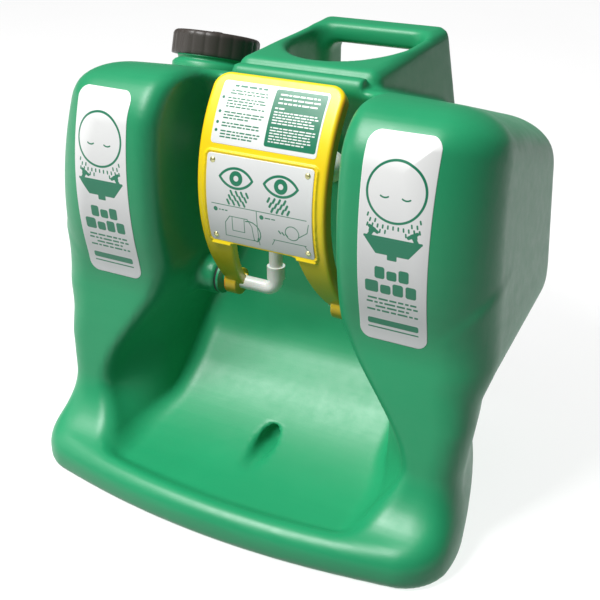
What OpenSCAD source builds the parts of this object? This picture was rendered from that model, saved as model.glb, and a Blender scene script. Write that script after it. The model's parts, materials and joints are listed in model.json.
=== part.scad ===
// Portable gravity-fed eyewash station.
// Frame: +X to the user's right, +Y to the wall behind, +Z up. The origin is the middle of the
// bounding box on the surface that the base stands on. Lengths are millimetres.

/* [Tank] */
// Width across the two front lobes
tank_w = 540; // [520:1:650]
// Depth of the upper tank, from the lobe faces to the back wall
tank_d = 362; // [330:1:440]
// Height of the highest point of the lobes
lobe_h = 480; // [478:1:500]
// Moulded wall thickness
wall = 5; // [4:0.5:7]
// Fall of the tank's top towards the back, in degrees
top_fall = 17; // [14:0.5:19]
// Radius of the bulge of the lobe faces
lobe_r = 371; // [340:1:460]
// Height at which the lobe faces bulge furthest forward
lobe_mid_z = 349; // [330:1:370]
// Height at which the lobe faces begin to round over into the top
lobe_top_z = 450; // [440:1:452]
// Radius of that rounding
top_r = 45; // [38:1:45]
// Height up to which the narrower pedestal reaches under the tank
pedestal_h = 236; // [225:1:236]

/* [Basin] */
// How far the catch basin's lip stands in front of the lobe faces
lip_reach = 91; // [80:1:110]
// Height of the lip
lip_h = 44; // [38:1:50]
// Height of the basin floor
floor_z = 30; // [26:1:34]
// Half width of the recess between the lobes
recess_half_w = 115; // [110:1:122]
// Half width of the basin where it is widest
basin_half_w = 190; // [180:1:200]

/* [Handle] */
// Width of the handle block
handle_w = 166; // [150:1:180]
// Height of the handle bar's top
handle_top_z = 482; // [476:1:500]
// Thickness of the handle bar
bar_t = 23; // [20:1:26]
// Half width of the finger opening
grip_half_w = 51; // [45:1:56]

/* [Filler neck and cap] */
// Distance of the neck's axis to the left of the middle
neck_x = 177; // [168:1:182]
// Distance of the neck's axis behind the origin, along the top
neck_y = 100; // [92:1:112]
// Outer radius of the neck
neck_r = 46; // [40:0.5:50]
// Height of the neck above the tank's top
neck_h = 31; // [26:1:34]
// Radial clearance between the neck and the cap's skirt
cap_clear = 0.6; // [0.4:0.1:1.2]
// Height of the cap
cap_h = 29; // [26:1:32]
// Thickness of the cap's wall
cap_wall = 7; // [5:0.5:8]

/* [Activation arm] */
// Half width of the arm
arm_half_w = 78; // [74:1:80]
// Outer radius of the arm's curved front
arm_r = 175; // [170:1:178]
// Thickness of the arm's moulding
arm_t = 3.5; // [3:0.5:4.5]
// Depth of the arm's side flanges
flange_d = 15; // [12:1:18]
// Half width of the notch between the arm's legs
notch_half_w = 40; // [34:1:46]
// Height of the arm's pivot axis
pivot_z = 215; // [212:1:220]
// Distance of the pivot axis in front of the recess's back wall
pivot_gap = 20; // [19:0.5:24]
// Radius of the pivot bosses at the foot of the arm's legs
boss_r = 16; // [15:0.5:17]

/* [Pipework] */
// Outer radius of the white pipe
pipe_r = 8; // [7:0.25:9]
// Bore radius of the white pipe
pipe_bore_r = 6; // [5:0.25:6.5]
// Distance of the riser to the left of the middle
riser_x = 16; // [12:1:20]
// Distance from the pivot axis to the spray heads' crossbar
head_reach = 150; // [140:1:160]
// Spacing of the two spray heads
head_pitch = 76; // [70:1:84]
// Radius of a spray head's face
head_r = 18; // [15:0.5:20]
// Running clearance, on the radius, of what turns in what
run_clear = 0.05; // [0.02:0.01:0.08]

/* [Labels and plate] */
// Half width of the instruction plate
plate_half_w = 64; // [58:1:66]
// Height of the instruction plate
plate_h = 98; // [88:1:104]
// Width of a side label
label_w = 72; // [64:1:76]
// Height of a side label
label_h = 212; // [190:1:216]

/* [Drain and wall bracket] */
// Bore radius of the drain
drain_r = 9; // [8:0.5:10]
// Fall of the drain, in degrees
drain_fall = 1.5; // [1:0.25:1.75]
// Outer radius of the hose spigot
spigot_r = 11; // [10:0.5:12]
// Spacing of the wall screws across
screw_pitch_x = 280; // [240:1:300]
// Spacing of the wall screws up and down
screw_pitch_z = 60; // [50:1:64]
// Radius of the wall screw holes
screw_r = 4.5; // [3.5:0.25:5.5]

/* [Hidden] */

green = [0.13, 0.55, 0.38];
yellow = [0.95, 0.88, 0.10];
white = [0.93, 0.94, 0.93];
steel = [0.75, 0.76, 0.78];
rubber = [0.10, 0.10, 0.11];
brass = [0.80, 0.65, 0.30];
cap_grey = [0.22, 0.21, 0.20];

eps = 0.01;
full_turn = 360;
corner_steps = 6;
bracket_t = 3;

// Depth places, from the back forward
back_y = tank_d - 137;                  // back wall of the tank
lobe_y = back_y - tank_d;               // foremost line of the lobe faces
lip_y = lobe_y - lip_reach;             // foremost line of the basin's lip
recess_y = -10;                         // back wall of the recess, at its top
deep_y = recess_y + 50;                 // the same behind the arm, where the wall stands back
ramp_y = -72;                           // where the basin floor turns up into the ramp
pedestal_y = back_y - 30;               // back of the pedestal

// Sloping top: its height over the place where the neck stands
function top_z(y) = lobe_h - 12 - (y + 24) * tan(top_fall);

// Pivot axis of the arm and the centre of the arm's curve
pivot_y = recess_y - pivot_gap;
arm_cy = pivot_y + 112;
arm_cz = pivot_z + 128;
function arm_angle(z) = 180 - asin((z - arm_cz) / arm_r);

// Clearances and small sizes that several pieces share
pad_in = arm_half_w + 12;               // inner face of the pivot pads
pad_out = (basin_half_w + recess_half_w) / 2 - 12;   // their far side, behind the basin's wall
pad_r = 24;
socket_r = 13;                          // bore through a pad
flange_r = 19;                          // flange of what sits in a pad
flange_t = 3;
seal_t = 2;
nut_t = 8;
spud_r = pipe_bore_r - run_clear;       // spud on which the elbow turns
spud_bore_r = pipe_bore_r - 2.8;
ring_r = 0.75;                          // sealing rings and their grooves on the spud
ring_groove_r = spud_r - 2 * ring_r;
ring_x = [arm_half_w - 6, arm_half_w - 13];
pin_r = 5;
boss_l = 16;                            // length of the bosses on the arm's legs
clip_x = arm_half_w - boss_l - 3;       // place, thickness and radius of the pin's clip
clip_t = 1.2;
clip_r = pin_r + 4;
rivet_r = 2.5;
rivet_head_r = 4.5;
skin_t = 0.4;                           // printed films
film_gap = 0.05;
insert_r = 6;
insert_l = 16;
bolt_r = 3;
insert_x = 120;
insert_z = [250, 320];
gasket_t = 2.5;
neck_floor = neck_h - cap_h + gasket_t + 4;   // height of the cap's rim over the tank's top

// ---- Outline helpers -------------------------------------------------------------------

function unit(v) = v / norm(v);
function flat2(p) = [p[0], p[1]];
function side_of(u) = [-u[1], u[0]];

// Corners [x, y, radius], anticlockwise, moved inwards by t
function moved(p, t) = [for (i = [0 : len(p) - 1])
    let (n = len(p), a = flat2(p[(i + n - 1) % n]), b = flat2(p[i]), c = flat2(p[(i + 1) % n]),
         u = unit(b - a), w = unit(c - b), s = side_of(u) + side_of(w),
         turn = sign(u[0] * w[1] - u[1] * w[0]))
    concat(b + s * t / (1 + side_of(u) * side_of(w)), [max(p[i][2] - turn * t, 1)])];

// The arc that rounds the corner b between its neighbours a and c
function corner_arc(a, b, c, r) =
    let (u = unit(flat2(a) - flat2(b)), w = unit(flat2(c) - flat2(b)),
         half = acos(max(-1, min(1, u * w))) / 2,
         room = min(norm(flat2(a) - flat2(b)), norm(flat2(c) - flat2(b))) / 2.02,
         rr = min(r, room * tan(half)),
         m = flat2(b) + unit(u + w) * rr / sin(half),
         p0 = flat2(b) + u * rr / tan(half) - m, p1 = flat2(b) + w * rr / tan(half) - m,
         a0 = atan2(p0[1], p0[0]), da = atan2(p1[1], p1[0]) - a0,
         sweep = da > 180 ? da - full_turn : (da < -180 ? da + full_turn : da))
    [for (k = [0 : corner_steps]) m + rr * [cos(a0 + sweep * k / corner_steps),
                                            sin(a0 + sweep * k / corner_steps)]];

function rounded(p) = [for (i = [0 : len(p) - 1])
    let (n = len(p)) each (p[i][2] > 1.5 && abs(side_of(unit(flat2(p[i]) - flat2(p[(i + n - 1) % n])))
        * unit(flat2(p[(i + 1) % n]) - flat2(p[i]))) > 0.02
        ? corner_arc(p[(i + n - 1) % n], p[i], p[(i + 1) % n], p[i][2]) : [flat2(p[i])])];

// The right half of an outline, closed by its mirror image
function both_sides(p) = concat(p, [for (i = [len(p) - 1 : -1 : 0])
    if (p[i][0] > eps) [-p[i][0], p[i][1], p[i][2]]]);

// Extrudes a Y-Z outline across X, and an X-Z outline along Y
module across(half) { rotate([90, 0, 90]) translate([0, 0, -half]) linear_extrude(2 * half) children(); }
module along_x(x0, x1, r, fn = 96, bore = 0) {
    translate([x0, 0, 0]) rotate([0, 90, 0]) difference() {
        cylinder(r = r, h = x1 - x0, $fn = fn);
        if (bore > 0) translate([0, 0, -1]) cylinder(r = bore, h = x1 - x0 + 2, $fn = fn);
    }
}
module tube_x(x0, x1, r, bore) {
    difference() {
        along_x(x0, x1, r);
        along_x(x0 - 1, x1 + 1, bore);
    }
}

// ---- Tank ------------------------------------------------------------------------------

front_w = tank_w / 2;
rear_w = front_w - 23;
foot_w = front_w - 23;

tank_plan = both_sides([[front_w, lobe_y, 46], [rear_w, back_y, 80]]);
// Foremost line of the lobe faces' curve at height z, and the corner where its tangent at
// lobe_top_z meets the sloping top
function lobe_face_y(z) = lobe_y + lobe_r - sqrt(lobe_r * lobe_r - (z - lobe_mid_z) * (z - lobe_mid_z));
lean = asin((lobe_top_z - lobe_mid_z) / lobe_r);
brow = (top_z(lobe_face_y(lobe_top_z)) - lobe_top_z) / (cos(lean) + sin(lean) * tan(top_fall));
brow_y = lobe_face_y(lobe_top_z) + brow * sin(lean);
brow_z = lobe_top_z + brow * cos(lean);
chin = (brow_y - lobe_y + 5) / sin(lean);
tank_low_z = 150;
tank_side = [[lobe_y - 5, tank_low_z, 2], [back_y, tank_low_z, 55], [back_y, top_z(back_y), 40],
             [brow_y, brow_z, top_r], [lobe_y - 5, brow_z - chin * cos(lean), 2]];
tank_front = both_sides([[front_w, -lobe_h, 2], [front_w, 0, 46]]);
tank_belly = both_sides([[front_w, tank_low_z, 55], [front_w, 2 * lobe_h, 2]]);
foot_plan = both_sides([[0, lip_y, 2], [130, lip_y + 7, 2], [foot_w, lip_y + 20, 38],
                        [foot_w - 6, recess_y - 30, 60], [110, pedestal_y, 40]]);
foot_side = [[lip_y, 0, 6], [pedestal_y, 0, 6], [pedestal_y, pedestal_h, 2],
             [lobe_face_y(pedestal_h), pedestal_h, 2], [lobe_y - 2, 95, 60], [lobe_y - 53, lip_h, 40],
             [lip_y, lip_h, 20]];
foot_front = both_sides([[foot_w, 0, 8], [front_w - 4, 160, 2], [front_w, pedestal_h + 60, 2]]);

module tank_block(t) {
    intersection() {
        across(front_w) intersection() {
            polygon(rounded(moved(tank_side, t)));
            union() {
                translate([lobe_y + lobe_r, lobe_mid_z]) circle(r = lobe_r - t, $fn = 240);
                translate([lobe_y + 60, 100]) square([tank_d, lobe_h]);
                translate([lobe_y, lobe_top_z]) square([tank_d, lobe_h]);
            }
        }
        rotate([90, 0, 0]) linear_extrude(3 * tank_d, center = true)
            polygon(rounded(moved(tank_belly, t)));
        linear_extrude(lobe_h + 20) polygon(rounded(moved(tank_plan, t)));
        translate([0, -24, top_z(-24)]) rotate([-top_fall, 0, 0]) rotate([90, 0, 0])
            linear_extrude(3 * tank_d, center = true) polygon(rounded(moved(tank_front, t)));
    }
}

module pedestal(t) {
    intersection() {
        across(front_w) polygon(rounded(moved(foot_side, t)));
        linear_extrude(lobe_h) polygon(rounded(moved(foot_plan, t)));
        rotate([90, 0, 0]) linear_extrude(3 * tank_d, center = true)
            polygon(rounded(moved(foot_front, t)));
    }
}

// Handle block on the sloping top, as wide at its top as handle_w
block_side = [[recess_y - 4, top_z(back_y) - 60, 2], [back_y, top_z(back_y) - 60, 2],
              [back_y, handle_top_z, 12], [3, handle_top_z - 13, 14]];
block_front = both_sides([[handle_w / 2 + 14, top_z(back_y) - 60, 2], [handle_w / 2, handle_top_z, 10]]);
module handle_block(t) {
    intersection() {
        across(front_w) polygon(rounded(moved(block_side, t)));
        rotate([90, 0, 0]) linear_extrude(3 * tank_d, center = true)
            polygon(rounded(moved(block_front, t)));
    }
}

// Finger well in front of the bar, open under the bar to the back
grip_side = [[back_y - 78, top_z(back_y - 78) + 2, 14], [back_y + 30, top_z(back_y + 30) + 2, 1],
             [back_y + 30, handle_top_z - bar_t, 1], [back_y - bar_t, handle_top_z - bar_t, 8],
             [back_y - bar_t, lobe_h + 40, 1], [back_y - 106, lobe_h + 40, 1]];
module grip(t) {
    across(grip_half_w + t) polygon(rounded(moved(grip_side, -t)));
}

// Recess between the lobes, which widens into the bell of the catch basin
bell = both_sides([[basin_half_w - 50, -20, 1], [basin_half_w - 40, floor_z, 6],
    [basin_half_w - 12, floor_z + 25, 20], [basin_half_w, 90, 30], [basin_half_w - 10, 122, 30],
    [(basin_half_w + recess_half_w) / 2 + 2, 167, 60], [recess_half_w + 15, 222, 60],
    [recess_half_w, 285, 60], [recess_half_w, 540, 1]]);
bell_back = 0.8;
bell_front = 1.18;
bell_l = 300;
recess_side = [[lip_y - 40, lip_h, 1], [lip_y + 22, lip_h, 14], [lip_y + 42, floor_z, 14],
               [ramp_y, floor_z, 50], [deep_y, floor_z + deep_y - ramp_y, 20],
               [deep_y, arm_cz - 10, 40], [recess_y, arm_cz + 95, 20], [recess_y, 540, 1],
               [lip_y - 40, 540, 1]];
module recess(t) {
    intersection() {
        across(front_w) polygon(rounded(moved(recess_side, -t)));
        translate([0, deep_y + t, 0]) rotate([90, 0, 0])
            linear_extrude(bell_l + t, scale = [bell_front / bell_back, 1], slices = 1)
            scale([bell_back, 1]) polygon(rounded(moved(bell, -t)));
    }
}

// Drain: a scoop in the floor and a moulded tunnel that falls to the back
drain_z = floor_z - 8;
head_z = pivot_z + head_reach;          // height of the stowed spray heads
module drain(t) {
    translate([0, recess_y - 26, drain_z]) rotate([-90 - drain_fall, 0, 0])
        cylinder(r = drain_r + t, h = pedestal_y - recess_y + 60, $fn = 64);
    translate([0, recess_y - 26, drain_z + 11]) rotate([-90 - 9, 0, 0])
        translate([0, 0, -80]) cylinder(r = 14 + t, h = 84, $fn = 64);
}
drain_end_z = drain_z - (pedestal_y - recess_y + 26) * tan(drain_fall);

// Places the children on the neck's axis, at the tank's sloping top
module on_neck() {
    translate([-neck_x, neck_y, top_z(neck_y)]) rotate([-top_fall, 0, 0]) children();
}

module at_inserts() {
    for (x = [-insert_x, insert_x], z = insert_z)
        translate([x, back_y, z]) rotate([90, 0, 0]) children();
}

module pads(r, x0, x1) {
    for (side = [0, 1]) mirror([side, 0, 0]) translate([0, pivot_y, pivot_z]) along_x(x0, x1, r);
}

module water_space() {
    difference() {
        union() {
            tank_block(wall);
            pedestal(wall);
            handle_block(wall);
        }
        recess(wall);
        grip(wall);
        drain(wall);
        pads(pad_r + wall, pad_in, pad_out);
        at_inserts() cylinder(r = insert_r + wall, h = insert_l + wall, $fn = 48);
    }
}

module tank_shell() {
    color(green) difference() {
        union() {
            difference() {
                union() {
                    tank_block(0);
                    pedestal(0);
                    handle_block(0);
                    on_neck() translate([0, 0, -14]) cylinder(r = neck_r, h = neck_h + 14, $fn = 128);
                }
                recess(0);
                grip(0);
                drain(0);
                water_space();
                on_neck() translate([0, 0, -30]) cylinder(r = neck_r - wall, h = neck_h + 60, $fn = 128);
            }
            pads(pad_r, pad_in, pad_out);
            translate([0, recess_y, arm_cz + 115]) along_x(-72, 72, 7, 48);
        }
        pads(socket_r, pad_in - 1, pad_out + 1);
        at_inserts() translate([0, 0, -1]) cylinder(r = insert_r, h = insert_l + 1, $fn = 48);
    }
}

// A printed film on the bulged face of a lobe
label_x = 172;
label_z = 344;
module side_label(side) {
    color(white) intersection() {
        translate([side * label_x, 0, label_z]) rotate([90, 0, 0]) linear_extrude(3 * tank_d, center = true)
            polygon(rounded([[-label_w / 2, -label_h / 2, 12], [label_w / 2, -label_h / 2, 12],
                             [label_w / 2, label_h / 2, 12], [-label_w / 2, label_h / 2, 12]]));
        translate([0, lobe_y + lobe_r, lobe_mid_z]) difference() {
            along_x(-front_w, front_w, lobe_r + skin_t, 240);
            along_x(-front_w - 1, front_w + 1, lobe_r, 240);
        }
        translate([0, lobe_y - 10 - tank_d / 2, 0]) translate([-front_w, 0, 0])
            cube([2 * front_w, tank_d, lobe_h]);
    }
}
module side_label_left() side_label(-1);
module side_label_right() side_label(1);

// ---- Water outlet and pivots -----------------------------------------------------------

seat_x = pad_in - seal_t;               // where the flanges meet their seals
module on_axis() { translate([0, pivot_y, pivot_z]) children(); }

// Barbed body that screws through the left pad and carries the swivel on its spud
module outlet_fitting() {
    color(green) on_axis() difference() {
        union() {
            along_x(-pad_out - nut_t - 12, -seat_x + eps, socket_r - 0.3);
            along_x(-seat_x, -seat_x + flange_t, flange_r);
            along_x(-seat_x, -seat_x + flange_t + 30, spud_r);
        }
        along_x(-pad_out - nut_t - 13, -seat_x + flange_t + 31, spud_bore_r);
        for (x = ring_x) along_x(-x - 0.9, -x + 0.9, spud_r + 2, 96, ring_groove_r);
    }
}
module outlet_gasket() { color(rubber) on_axis() tube_x(-pad_in, -seat_x, flange_r, socket_r); }
module outlet_nut() { color(white) on_axis() difference() {
    translate([-pad_out - nut_t, 0, 0]) rotate([0, 90, 0]) cylinder(r = flange_r + 3, h = nut_t, $fn = 6);
    along_x(-pad_out - nut_t - 1, -pad_out + 1, socket_r - 0.3 + 0.1);
} }
// Strainer cup over the inner end of the outlet
strainer_x = pad_out + nut_t;
module inlet_strainer() {
    color(white) on_axis() difference() {
        along_x(-strainer_x - 40, -strainer_x, socket_r + 1.6);
        along_x(-strainer_x - 38, -strainer_x + 1, socket_r - 0.3 + 0.1);
        for (k = [0 : 7], x = [16, 24, 32]) rotate([k * 45, 0, 0])
            translate([-strainer_x - x, 0, 0]) cylinder(r = 2, h = 30, $fn = 24);
    }
}

// Flanged bush in the right pad, its nut inside the tank, and the pin that turns in it
module pivot_bush() {
    color(green) on_axis() difference() {
        union() {
            along_x(pad_in - eps, pad_out + nut_t + 4, socket_r - 0.3);
            along_x(pad_in - flange_t, pad_in, flange_r);
        }
        along_x(pad_in - flange_t - 1, pad_out - 2, pin_r + run_clear);
    }
}
module pivot_bush_nut() { color(white) on_axis() difference() {
    translate([pad_out, 0, 0]) rotate([0, 90, 0]) cylinder(r = flange_r + 3, h = nut_t, $fn = 6);
    along_x(pad_out - 1, pad_out + nut_t + 1, socket_r - 0.3 + 0.1);
} }

// ---- Drain and wall bracket ------------------------------------------------------------

module on_drain_end() {
    translate([0, pedestal_y, drain_end_z]) rotate([-90 - drain_fall, 0, 0]) children();
}
spigot_l = 26;
module drain_spigot() {
    color(cap_grey) on_drain_end() difference() {
        union() {
            translate([0, 0, -24]) cylinder(r = drain_r - 0.2, h = 28, $fn = 64);
            translate([0, 0, seal_t + 0.6]) cylinder(r = spigot_r + 1.5, h = 2, $fn = 64);
            translate([0, 0, seal_t + 0.6]) cylinder(r = spigot_r - 2, h = 2 + spigot_l, $fn = 64);
        }
        translate([0, 0, -30]) cylinder(r = drain_r - 2, h = 80, $fn = 64);
    }
}
module drain_gasket() {
    color(rubber) on_drain_end() translate([0, 0, 0.6]) difference() {
        cylinder(r = spigot_r + 1, h = seal_t, $fn = 64);
        translate([0, 0, -1]) cylinder(r = drain_r, h = 6, $fn = 64);
    }
}

// Flat steel plate on the back wall, with two legs that carry the wall screws
bracket_low_z = 105;
bracket_top_z = 345;
screw_z = 160;
module at_wall_screws() {
    for (x = [-1, 1], z = [-1, 1])
        translate([x * screw_pitch_x / 2, back_y - 1, screw_z + z * screw_pitch_z / 2])
        rotate([-90, 0, 0]) children();
}
module wall_bracket() {
    half = screw_pitch_x / 2 + 22;
    color(steel) difference() {
        translate([0, back_y + bracket_t, 0]) rotate([90, 0, 0]) linear_extrude(bracket_t)
            polygon(rounded(both_sides([[half - 52, bracket_low_z, 8], [half, bracket_low_z, 14],
                [half, bracket_top_z, 14], [half - 60, bracket_top_z, 8],
                [half - 60, bracket_top_z - 20, 8]])));
        translate([0, back_y + bracket_t + 1, 0]) rotate([90, 0, 0]) linear_extrude(bracket_t + 2)
            polygon(rounded(both_sides([[half - 52, bracket_low_z - 10, 1], [half - 52, 222, 14]])));
        at_wall_screws() cylinder(r = screw_r, h = 10, $fn = 48);
        at_inserts() translate([0, 0, -bracket_t - 0.1])
            cylinder(r1 = 2 * bolt_r + 0.2, r2 = bolt_r + 0.1, h = bracket_t + 0.2, $fn = 48);
    }
}
module bracket_bolts() {
    color(steel) at_inserts() {
        translate([0, 0, -bracket_t]) cylinder(r1 = 2 * bolt_r, r2 = bolt_r, h = bracket_t, $fn = 48);
        translate([0, 0, -1]) cylinder(r = bolt_r, h = insert_l - 3, $fn = 48);
    }
}
module bracket_inserts() {
    color(brass) at_inserts() difference() {
        cylinder(r = insert_r, h = insert_l, $fn = 48);
        translate([0, 0, -1]) cylinder(r = bolt_r + 0.1, h = insert_l, $fn = 48);
    }
}

// ---- Filler cap ------------------------------------------------------------------------

cap_in_r = neck_r + cap_clear;
cap_r = cap_in_r + cap_wall;
cap_top = neck_floor + cap_h;
cap_ribs = 20;
vent_r = 6;
module cap_gasket() {
    color(rubber) on_neck() difference() {
        translate([0, 0, neck_h]) cylinder(r = neck_r - 0.5, h = gasket_t, $fn = 128);
        translate([0, 0, neck_h - 1]) cylinder(r = neck_r - wall - 2, h = gasket_t + 2, $fn = 128);
    }
}
module fill_cap() {
    color(cap_grey) on_neck() difference() {
        union() {
            translate([0, 0, neck_floor]) cylinder(r = cap_r, h = cap_h - 5, $fn = 128);
            translate([0, 0, cap_top - 5]) cylinder(r1 = cap_r, r2 = cap_r - 5, h = 5, $fn = 128);
        }
        translate([0, 0, neck_floor - 1]) cylinder(r = cap_in_r, h = neck_h + gasket_t - neck_floor + 1,
                                                   $fn = 128);
        for (k = [0 : cap_ribs - 1]) rotate([0, 0, k * full_turn / cap_ribs])
            translate([cap_r + 2.2, 0, neck_floor - 1]) cylinder(r = 4.5, h = cap_h + 2, $fn = 32);
        translate([0, 0, neck_floor]) cylinder(r = vent_r - 2, h = 60, $fn = 48);
    }
}
// Mushroom vent that lets air in as the water runs out
module cap_vent() {
    color(cap_grey) on_neck() difference() {
        union() {
            translate([0, 0, cap_top]) cylinder(r1 = vent_r + 2, r2 = vent_r, h = 3, $fn = 48);
            translate([0, 0, cap_top - 7]) cylinder(r = vent_r - 2, h = 7.5, $fn = 48);
        }
        translate([0, 0, cap_top - 8]) cylinder(r = 1.5, h = 9, $fn = 32);
        translate([-10, 0, cap_top + 1.2]) rotate([0, 90, 0]) cylinder(r = 0.8, h = 20, $fn = 24);
    }
}

// ---- Activation arm --------------------------------------------------------------------

// A stretch of the arm's curve between two angles, r0 to r1 from its centre, half as wide as given
module arc_band(r0, r1, a0, a1, half) {
    far = 2 * arm_r;
    across(half) translate([arm_cy, arm_cz]) intersection() {
        difference() {
            circle(r = r1, $fn = 180);
            circle(r = r0, $fn = 180);
        }
        polygon([[0, 0], far * [cos(a0), sin(a0)], far * [cos((a0 + a1) / 2), sin((a0 + a1) / 2)],
                 far * [cos(a1), sin(a1)]]);
    }
}

arm_top_a = 135;
arm_foot_a = 229;
plate_mid_z = arm_cz - 3;
plate_top_z = plate_mid_z + plate_h / 2;
plate_low_z = plate_mid_z - plate_h / 2;
notch_z = plate_low_z - 2;
module at_rivets() {
    for (x = [-1, 1], z = [-1, 1])
        translate([x * (plate_half_w - 7), arm_cy, arm_cz])
        rotate([-asin((plate_mid_z - arm_cz + z * (plate_h / 2 - 7)) / arm_r), 0, 0])
        translate([0, -arm_r, 0]) rotate([90, 0, 0]) children();
}

module activation_arm() {
    color(yellow) difference() {
        union() {
            intersection() {
                union() {
                    arc_band(arm_r - arm_t, arm_r, arm_top_a, arm_foot_a, arm_half_w);
                    for (side = [0, 1]) mirror([side, 0, 0]) translate([arm_half_w - arm_t / 2, 0, 0])
                        arc_band(arm_r - flange_d, arm_r, arm_top_a, arm_foot_a, arm_t / 2);
                }
                rotate([90, 0, 0]) linear_extrude(2 * tank_d, center = true) polygon(rounded(both_sides(
                    [[arm_half_w, 0, 1], [arm_half_w, arm_cz + arm_r * sin(arm_top_a), 18]])));
            }
            for (side = [0, 1]) mirror([side, 0, 0]) on_axis() along_x(arm_half_w - boss_l, arm_half_w, boss_r);
        }
        translate([-notch_half_w, pivot_y - 100, pivot_z - 100])
            cube([2 * notch_half_w, 160, notch_z - pivot_z + 100]);
        on_axis() along_x(-arm_half_w - 1, 0, pipe_r);
        on_axis() along_x(0, arm_half_w + 1, pin_r);
        on_axis() along_x(0, arm_half_w - boss_l, clip_r + 1);
        at_rivets() translate([0, 0, -10]) cylinder(r = rivet_r, h = 20, $fn = 48);
        at_pipe_screws() translate([0, 0, -10]) cylinder(r = 2, h = 20, $fn = 32);
    }
}

module arm_label() {
    color(white) arc_band(arm_r + film_gap, arm_r + film_gap + skin_t, arm_top_a + 4,
                          arm_angle(plate_top_z + 10), plate_half_w - 1);
}
plate_t = 1.5;
module instruction_plate() {
    color(white) difference() {
        arc_band(arm_r + film_gap, arm_r + film_gap + plate_t, arm_angle(plate_top_z),
                 arm_angle(plate_low_z), plate_half_w);
        at_rivets() translate([0, 0, -10]) cylinder(r = rivet_r, h = 20, $fn = 48);
    }
}
module plate_rivets() {
    color(steel) at_rivets() {
        translate([0, 0, film_gap + plate_t]) cylinder(r1 = rivet_head_r, r2 = rivet_head_r - 1.5, h = 1.6,
                                                       $fn = 48);
        translate([0, 0, -arm_t - 1]) cylinder(r = rivet_r, h = arm_t + 1 + film_gap + plate_t + 0.2,
                                                $fn = 48);
        translate([0, 0, -arm_t - 2]) cylinder(r = rivet_head_r - 1, h = 1.5, $fn = 48);
    }
}

// White pipework that swings with the arm: elbow on the outlet's spud, riser, tee and heads
elbow_r = 12;
collar_r = pipe_r + 2.5;
module swivel_elbow() {
    color(white) difference() {
        union() {
            on_axis() along_x(-arm_half_w - 4, -riser_x - elbow_r, pipe_r);
            translate([-riser_x - elbow_r, pivot_y, pivot_z + elbow_r]) rotate([90, 0, 0]) rotate([0, 0, -90])
                rotate_extrude(angle = 90, $fn = 96) translate([elbow_r, 0]) circle(r = pipe_r, $fn = 64);
            translate([-riser_x, pivot_y, pivot_z + elbow_r]) cylinder(r = pipe_r, h = 4, $fn = 96);
            translate([-riser_x, pivot_y, pivot_z + elbow_r + 2]) cylinder(r = collar_r, h = 16, $fn = 96);
        }
        on_axis() along_x(-arm_half_w - 5, -riser_x - elbow_r, pipe_bore_r);
        translate([-riser_x - elbow_r, pivot_y, pivot_z + elbow_r]) rotate([90, 0, 0]) rotate([0, 0, -90])
            rotate_extrude(angle = 90, $fn = 96) translate([elbow_r, 0]) circle(r = pipe_bore_r, $fn = 64);
        translate([-riser_x, pivot_y, pivot_z + elbow_r - eps]) cylinder(r = pipe_bore_r, h = 6, $fn = 96);
        translate([-riser_x, pivot_y, pivot_z + elbow_r + 4]) cylinder(r = pipe_r, h = 20, $fn = 96);
    }
}
// Two sealing rings in the spud's grooves, inside the elbow's sleeve
module swivel_rings() {
    color(rubber) on_axis() for (x = ring_x) translate([-x, 0, 0]) rotate([0, 90, 0])
        rotate_extrude($fn = 96) translate([ring_groove_r + ring_r, 0]) circle(r = ring_r, $fn = 32);
}
riser_z0 = pivot_z + elbow_r + 4;
module riser_pipe() {
    color(white) translate([-riser_x, pivot_y, riser_z0]) difference() {
        cylinder(r = pipe_r, h = head_z - 14 - riser_z0 + 10, $fn = 96);
        translate([0, 0, -1]) cylinder(r = pipe_bore_r, h = head_reach, $fn = 96);
    }
}
module at_heads() {
    for (side = [-1, 1]) translate([side * head_pitch / 2, pivot_y, head_z]) rotate([-90, 0, 0]) children();
}
module spray_tee() {
    color(white) difference() {
        union() {
            translate([0, pivot_y, head_z]) along_x(-head_pitch / 2 - 12, head_pitch / 2 + 12, collar_r);
            translate([-riser_x, pivot_y, head_z - 18]) cylinder(r = collar_r - 0.5, h = 18, $fn = 96);
            at_heads() cylinder(r = collar_r - 1, h = 14, $fn = 96);
        }
        translate([0, pivot_y, head_z]) along_x(-head_pitch / 2 - 9, head_pitch / 2 + 9, pipe_bore_r);
        translate([-riser_x, pivot_y, head_z - 19]) cylinder(r = pipe_r, h = 15, $fn = 96);
        translate([-riser_x, pivot_y, head_z - 5]) cylinder(r = pipe_bore_r - 0.5, h = 5, $fn = 96);
        at_heads() cylinder(r = pipe_bore_r - 1, h = 20, $fn = 96);
    }
}
head_l = 16;
module spray_head() {
    difference() {
        union() {
            translate([0, 0, 14]) cylinder(r1 = collar_r, r2 = head_r, h = head_l - 6, $fn = 96);
            translate([0, 0, 14 + head_l - 6]) cylinder(r = head_r, h = 6, $fn = 96);
        }
        translate([0, 0, 13]) cylinder(r = pipe_bore_r, h = 3, $fn = 96);
        translate([0, 0, 15.5]) cylinder(r1 = pipe_bore_r, r2 = head_r - 2.5, h = head_l - 7.5, $fn = 96);
        translate([0, 0, 14 + head_l - 6 - eps]) cylinder(r = head_r - 2.5, h = 8, $fn = 96);
    }
}
module spray_head_left() { color(white) intersection() { at_heads() spray_head(); half_space(-1); } }
module spray_head_right() { color(white) intersection() { at_heads() spray_head(); half_space(1); } }
module half_space(side) { translate([side * 500, 0, 500]) cube([1000, 1000, 1000], center = true); }
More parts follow.
